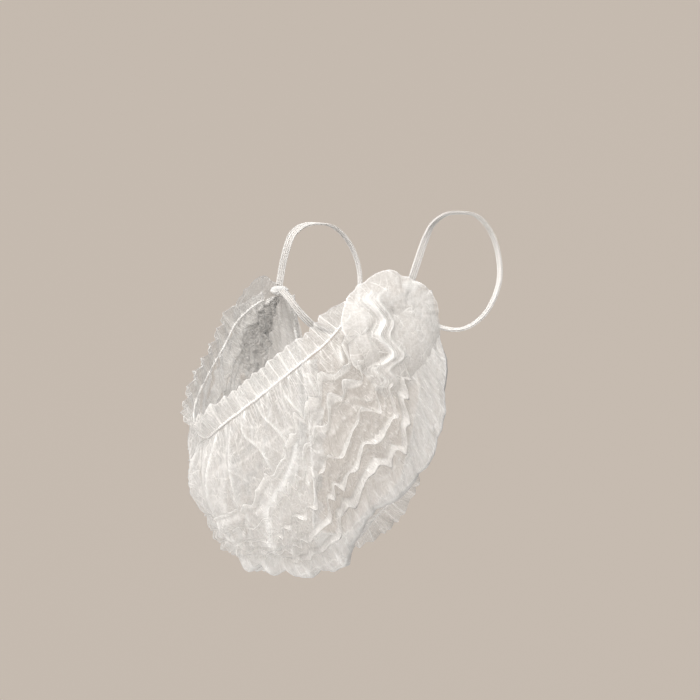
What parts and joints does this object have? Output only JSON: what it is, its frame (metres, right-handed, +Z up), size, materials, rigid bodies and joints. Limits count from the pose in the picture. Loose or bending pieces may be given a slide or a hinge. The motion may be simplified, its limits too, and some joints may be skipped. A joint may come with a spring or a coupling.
{
  "type": "disposable beard net",
  "caption": "Pleated nonwoven pouch that holds a beard, gathered by elastic along both edges, with a flat elastic loop for each ear, in its worn form.",
  "frame": {"origin": "midway between the tops of the two ear loops, where they hang over the wearer's ears", "axes": "+X towards the wearer's left, +Y towards the back of the head, +Z up; the wearer faces -Y"},
  "size_m": [0.152, 0.1414, 0.1842],
  "materials": {
    "cloth": "thin white spunbonded polypropylene, translucent, embossed with fine points",
    "thread": "white covered elastic thread",
    "strap": "flat white knitted elastic with two ribs"
  },
  "bodies": {
    "root": {"net_pouch": "cloth", "upper_ruffle": "cloth", "upper_elastic": "thread", "lower_ruffle": "cloth", "lower_elastic": "thread", "end_weld_left": "cloth", "end_weld_right": "cloth", "end_frill_left": "cloth", "end_frill_right": "cloth", "ear_loop_left": "strap", "ear_loop_right": "strap"}
  },
  "joints": []
}
